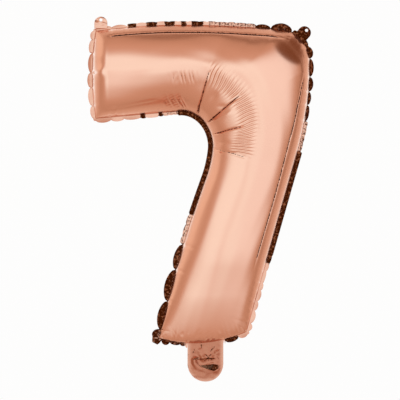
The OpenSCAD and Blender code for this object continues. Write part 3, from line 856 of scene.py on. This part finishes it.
def crimp_ribs(name, body, node, inside, outside, share, tone, painted_dull_shade, pitch):
    """Ribs between two lines, so much of the way across, with painted dark and duller painted shades given
    at the lines' points.
    """
    span = outside - inside
    reach = np.linalg.norm(span, axis=1)
    across = span / reach[:, None]
    stored = [("reach", reach * share / 1000), ("painted_dark_tone", tone), ("painted_dull_tone", painted_dull_shade)]
    ribs = new_object(name, to_frame((inside + outside) / 2), [], stored,
                      [(k, k + 1) for k in range(len(span) - 1)])
    layer = ribs.data.attributes.new("across", "FLOAT_VECTOR", "POINT")
    layer.data.foreach_set("vector", np.asarray(across, np.float32).reshape(-1))
    step = ribs.modifiers.new("crimp", "NODES")
    step.node_group = weld_crimp
    values = {"Pitch": pitch, "Rib Width": 0.0005, "Rib Height": 0.00046, "Seed": 4,
              "Film": rose_gold_film}
    for item in weld_crimp.interface.items_tree:
        if item.in_out == "INPUT" and item.name in values:
            step[item.identifier] = values[item.name]
    seen = ribs.evaluated_get(bpy.context.evaluated_depsgraph_get())
    finished = bpy.data.meshes.new_from_object(seen)
    ribs.modifiers.clear()
    ribs.data = finished
    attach(ribs, body)
    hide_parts(node)


first = np.where(at_tail)[0].max() + 1
ring = (np.arange(LOOP) + first) % LOOP
ring = ring[~at_tail[ring]]
# the ribs take the flange's painted dark reflection and duller painted shade; the tail's take a light
# painted shade
crimp_ribs("flange_crimp", "balloon", "perimeter_weld", flange_middle(0.15)[ring], flange_middle(0.9)[ring],
           1.0, painted_dark_share[ring] * 0.95, painted_dull_share[ring], 0.0013)
u_weld = tail_weld_places()[:, 3:-3]
crimp_ribs("tail_crimp", "tail", "tail_weld", u_weld[-1], u_weld[0], 0.9, 0.1, 0.6, 0.0015)


# --------------------------------------------------
# The valve.  Two plies of clear, limp film, sealed together along both sides, run from behind the
# slit, up through the seam and into the figure, where the gas presses them shut.  In the tail they
# lie in the same crumples as the foil; inside the figure they hang in a slack curve.
VALVE_W, VALVE_UP = 24.0, 78.0


def valve_places(z_low, z_high, offset, rows, width=VALVE_W):
    z = z_low + (z_high - z_low) * np.linspace(0, 1, rows) ** 1.6
    u = np.sort(loop[at_tail, 0]) - tail_mid
    u = np.concatenate([[-width / 2], u[np.abs(u) < width / 2 - 0.2], [width / 2]])
    uu, zz = np.meshgrid(u, z)
    x = tail_mid + uu
    slack = 2.2 * smooth(4, 40, zz) * np.sin(zz / 21.0)
    slack += 0.5 * smooth(2, 14, zz) * np.cos(uu / 3.1 + zz / 9.0)
    y = tail_wave(x, zz) + slack + offset
    return np.stack([x, y, zz], -1)


def valve_film_material(name, thin, thick, alpha, shine):
    material, tree, surface, grain = clouded_material(
        name, thin, thick, {"Alpha": alpha, "Specular IOR Level": shine},
        {"Ripple Size": 120.0, "Polish": 0.18})
    crease = tree.node("ShaderNodeBump", {"Strength": 0.4, "Distance": 0.0005, "Height": grain["Height"]})
    tree.fill(surface, {"Normal": crease.outputs["Normal"]})
    return material


clear_film = valve_film_material("clear_valve_film", (0.80, 0.83, 0.85), (0.93, 0.95, 0.96), 0.45, 0.5)
# the mouth's plies are coloured dark brown, a painted shade for the shadow inside the slit's fold
mouth_film = valve_film_material("shaded_mouth_film", (0.10, 0.035, 0.015), (0.32, 0.15, 0.085), 0.9,
                                 0.08)
for name, node, body, low, high, offset, look in (
        ("valve_front_film", "valve_front_ply", "balloon", -5.0, VALVE_UP, -0.05, clear_film),
        ("valve_back_film", "valve_back_ply", "balloon", -5.0, VALVE_UP, 0.05, clear_film),
        ("valve_mouth_front_film", "valve_mouth_front_ply", "tail", -22.8, -7.0, -0.09, mouth_film),
        ("valve_mouth_back_film", "valve_mouth_back_ply", "tail", -26.4, -7.0, 0.07, mouth_film)):
    film = thick_sheet(name, valve_places(low, high, offset, 120), 0.015)
    film.data.materials.append(look)
    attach(film, body)
    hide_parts(node)


# --------------------------------------------------
# The release coat.  A patch of heat-resistant print inside the valve, where the figure's weld runs
# across it, so that the weld can't seal the valve shut.
release_coat = thick_sheet("valve_release_print", valve_places(-5.0, 10.0, 0.0, 60, 20.0), 0.012)
release_coat.data.materials.append(sealant_material("matt_release_print", (0.62, 0.72, 0.78), 0.6))
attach(release_coat, "balloon")
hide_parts("valve_release_coat")


# --------------------------------------------------
# The hanging tabs.  At two corners both films and the weld run on as a small rounded ear, welded
# right through and punched with a hole for the line.  Handling has crumpled them.
def hanging_tab(name, root, degrees, tone, curl, seed):
    r = np.random.default_rng(seed)
    d = direction(degrees)
    across = np.array([d[1], -d[0]])
    rings, spokes = 16, 96
    hole = np.array([hole_reach, 0.0])
    folds = [(r.uniform(0, np.pi), r.uniform(2.2, 4.5), r.uniform(0, 6), r.uniform(0.4, 1.0))
             for _ in range(5)]
    places = np.zeros((rings + 1, spokes, 3))
    for k in range(spokes):
        a = 2 * np.pi * k / spokes
        ray = np.array([math.cos(a), math.sin(a)])
        # the outline seen from the hole: a half round on a short straight root, tucked into the flange
        b = ray[0] * (hole[0] - TAB_NECK)
        round_edge = -b + math.sqrt(b * b - (hole[0] - TAB_NECK) ** 2 + (TAB_W / 2) ** 2)
        options = [round_edge] if hole[0] + ray[0] * round_edge >= TAB_NECK else []
        if ray[0] < -1e-6:
            options.append((hole[0] + TAB_TUCK) / -ray[0])
        if abs(ray[1]) > 1e-6:
            options.append(TAB_W / 2 / abs(ray[1]))
        far = min(options)
        for m in range(rings + 1):
            share = m / rings
            q = hole + ray * (TAB_HOLE_R + (far - TAB_HOLE_R) * share)
            wave = sum(h * (abs(((q[0] * math.cos(t) + q[1] * math.sin(t)) / w + s) % 2 - 1) - 0.5)
                       for t, w, s, h in folds)
            free = max(0.0, min(1.0, (q[0] + 1.0) / 3.0))
            y = 0.8 * wave * free + curl * max(0.0, q[0]) ** 1.5 * 0.06
            p = root + d * q[0] + across * q[1]
            places[m, k] = (p[0], y, p[1])
    # a little duller painted shade on both ears
    stored = [("painted_dark_tone", tone), ("painted_dull_tone", 0.18), ("seam_out", 0.0), ("seam_run", 0.0)]
    tab = thick_sheet(name, places, 0.22, stored, turns=True)
    tab.data.materials.append(rose_gold_film)
    return tab


# tone paints dark reflection on the ears: in patches on the left ear, over most of the right
for name, node, body, root, degrees, tone, curl, seed in (
        ("left_hanging_ear", "left_hanging_tab", "left_tab", left_tab_root, 90.0, 0.22, 1.0, 3),
        ("right_hanging_ear", "right_hanging_tab", "right_tab", right_tab_root, 48.0, 0.8, 0.6, 11)):
    tab = hanging_tab(name, root, degrees, tone, curl, seed)
    out = np.insert(direction(degrees), 1, 0)
    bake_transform(tab)
    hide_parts(node)


# --------------------------------------------------
# The studio: dim warm walls, paler behind the balloon, one broad soft box in front, a pale screen
# far to the left and a dark doorway up on the right.  The foil shows them by the direction in which
# it mirrors them, and the floor is kept out of its reflections.
def studio_world():
    world = bpy.data.worlds.new("studio")
    bpy.context.scene.world = world
    world.use_nodes = True
    world.node_tree.nodes.clear()
    tree = Tree(world.node_tree)
    maths, ramp, fall, blend = tree.maths, tree.ramp, tree.fall, tree.blend

    def times(*values):
        product = values[0]
        for value in values[1:]:
            product = maths("MULTIPLY", product, value)
        return product

    place = tree.node("ShaderNodeTexCoord").outputs["Generated"]
    x, y, z = tree.node("ShaderNodeSeparateXYZ", {0: place}).outputs
    front = times(y, -1.0)
    to_degrees = 180 / math.pi
    azimuth = times(maths("ARCTAN2", x, front), to_degrees)
    rise = times(maths("ARCSINE", z), to_degrees)
    away = times(maths("ARCCOSINE", front), to_degrees)

    def towards(away_deg, turn_deg, full, none):
        """1 near one direction: so far from straight ahead, so far round from the right towards up."""
        a, t = math.radians(away_deg), math.radians(turn_deg)
        dot = times(x, math.sin(a) * math.cos(t))
        dot = maths("MULTIPLY_ADD", front, math.cos(a), dot)
        dot = maths("MULTIPLY_ADD", z, math.sin(a) * math.sin(t), dot)
        return fall(times(maths("ARCCOSINE", dot), to_degrees), full, none)

    # the walls, the pale screen, the bright wall behind and a dusky band at the upper right
    room = blend(ramp(away, 60.0, 95.0), (0.73, 0.50, 0.385), (0.63, 0.42, 0.31))
    room = blend(ramp(away, 104.0, 112.0), room, (0.76, 0.54, 0.42))
    room = blend(towards(112.0, 150.0, 16.0, 31.0), room, (0.98, 0.79, 0.645))
    room = blend(ramp(away, 118.0, 138.0), room, (0.92, 0.74, 0.63))
    behind = times(ramp(away, 138.0, 150.0), ramp(rise, -22.0, -6.0))
    room = blend(behind, room, (1.16, 1.27, 1.28))
    dusk = times(ramp(away, 92.0, 103.0), fall(away, 104.0, 110.0), ramp(maths("ADD", x, z), 0.3, 1.1))
    room = blend(dusk, room, (0.20, 0.09, 0.045))
    # the soft box: one broad pale field, whiter on the left, dimmer at its join and downwards
    far_left = maths("MAXIMUM", maths("MULTIPLY_ADD", azimuth, -0.8, -25.0), 0.0)
    lower_edge = tree.node("ShaderNodeMapRange", {"Value": maths("SUBTRACT", rise, far_left),
                                                  "From Min": -64.0, "From Max": -15.0})
    far_right = times(maths("MAXIMUM", azimuth, 0.0), 0.36)
    upper_edge = fall(maths("SUBTRACT", rise, far_right), 22.0, 58.0)
    box = times(ramp(azimuth, -70.0, -48.0), fall(azimuth, 52.0, 86.0),
                times(lower_edge.outputs["Result"], upper_edge))
    glow_colour = blend(ramp(azimuth, 0.0, 24.0), (1.15, 1.31, 1.34), (1.12, 1.19, 1.22))
    join = times(fall(maths("ABSOLUTE", maths("ADD", azimuth, 8.0)), 1.0, 10.0), fall(rise, -2.0, 14.0))
    glow_colour = blend(join, glow_colour, (1.06, 1.05, 1.05))
    room = blend(box, room, glow_colour)
    # the dark doorway
    room = blend(towards(88.0, 45.0, 17.0, 31.0), room, (0.20, 0.075, 0.03))
    seen = tree.node("ShaderNodeLightPath").outputs["Is Camera Ray"]
    glow = tree.node("ShaderNodeBackground", {"Color": blend(seen, room, (0.985, 0.982, 0.978))})
    tree.node("ShaderNodeOutputWorld", {"Surface": glow.outputs[0]})


studio_world()
bpy.context.scene.view_settings.view_transform = "Standard"

# the floor
FLOOR_Z, FLOOR_R, FLOOR_SIDES = -0.42, 0.9, 96
turns = np.arange(FLOOR_SIDES) * 2 * math.pi / FLOOR_SIDES
floor_rim = np.stack([FLOOR_R * np.cos(turns), FLOOR_R * np.sin(turns), np.full(FLOOR_SIDES, FLOOR_Z)], -1)
floor = new_object("studio_floor", floor_rim, [range(FLOOR_SIDES)])
floor_paint = bpy.data.materials.new("pale_floor_paint")
floor_paint.use_nodes = True
Tree(floor_paint.node_tree).fill(floor_paint.node_tree.nodes["Principled BSDF"], {
    "Base Color": (0.86, 0.85, 0.84, 1), "Roughness": 0.7, "Emission Color": (0.9, 0.95, 1.0, 1),
    "Emission Strength": 0.3})
floor.data.materials.append(floor_paint)
floor.visible_glossy = False

# the camera, straight in front of the middle of the balloon, with a long lens
camera_data = bpy.data.cameras.new("camera")
camera_data.lens = 400.0
camera_data.sensor_width = 36.0
camera = bpy.data.objects.new("camera", camera_data)
bpy.context.scene.collection.objects.link(camera)
frame_width = 1.096 * (cad_high[2] - cad_low[2])
off_middle = 0.0009
camera.location = ((cad_low[0] + cad_high[0]) / 2 - off_middle,
                   -frame_width * camera_data.lens / camera_data.sensor_width,
                   (cad_low[2] + cad_high[2]) / 2 - off_middle)
camera.rotation_euler = (math.radians(90), 0, 0)
bpy.context.scene.camera = camera
